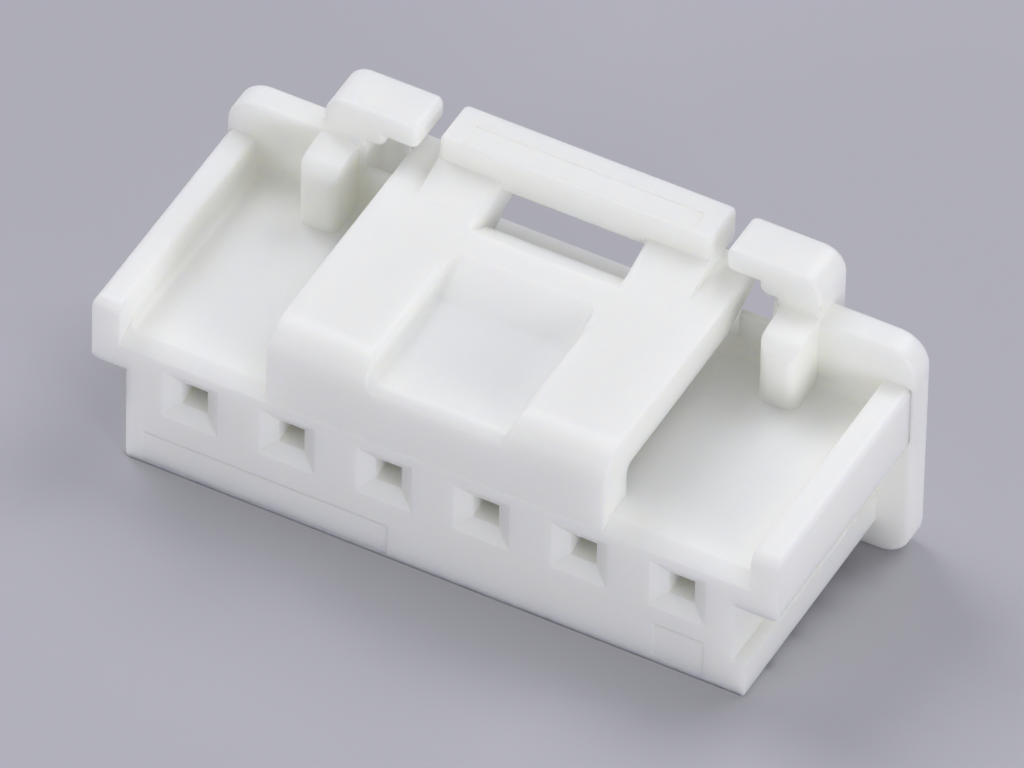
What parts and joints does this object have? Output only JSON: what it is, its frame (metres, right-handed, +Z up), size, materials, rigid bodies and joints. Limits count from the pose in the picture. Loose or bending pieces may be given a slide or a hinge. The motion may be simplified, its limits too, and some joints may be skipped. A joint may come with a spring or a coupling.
{
  "type": "wire to board connector housing",
  "caption": "Moulded plastic housing for a small wire to board connector, with a row of pin entries, side rails, a rear flange and a flexing latch with a press pad.",
  "frame": {"origin": "middle of the part's footprint, level with the lowest edge of the rear flange", "axes": "+X along the row of circuits, to the side with the keying rib; +Y from the mating face to the wire side; +Z up, to the latch"},
  "size_m": [0.0142, 0.0064, 0.006],
  "materials": {
    "moulding": "natural, unpigmented moulding with a fine satin surface"
  },
  "bodies": {
    "root": {"housing": "moulding"}
  },
  "joints": []
}
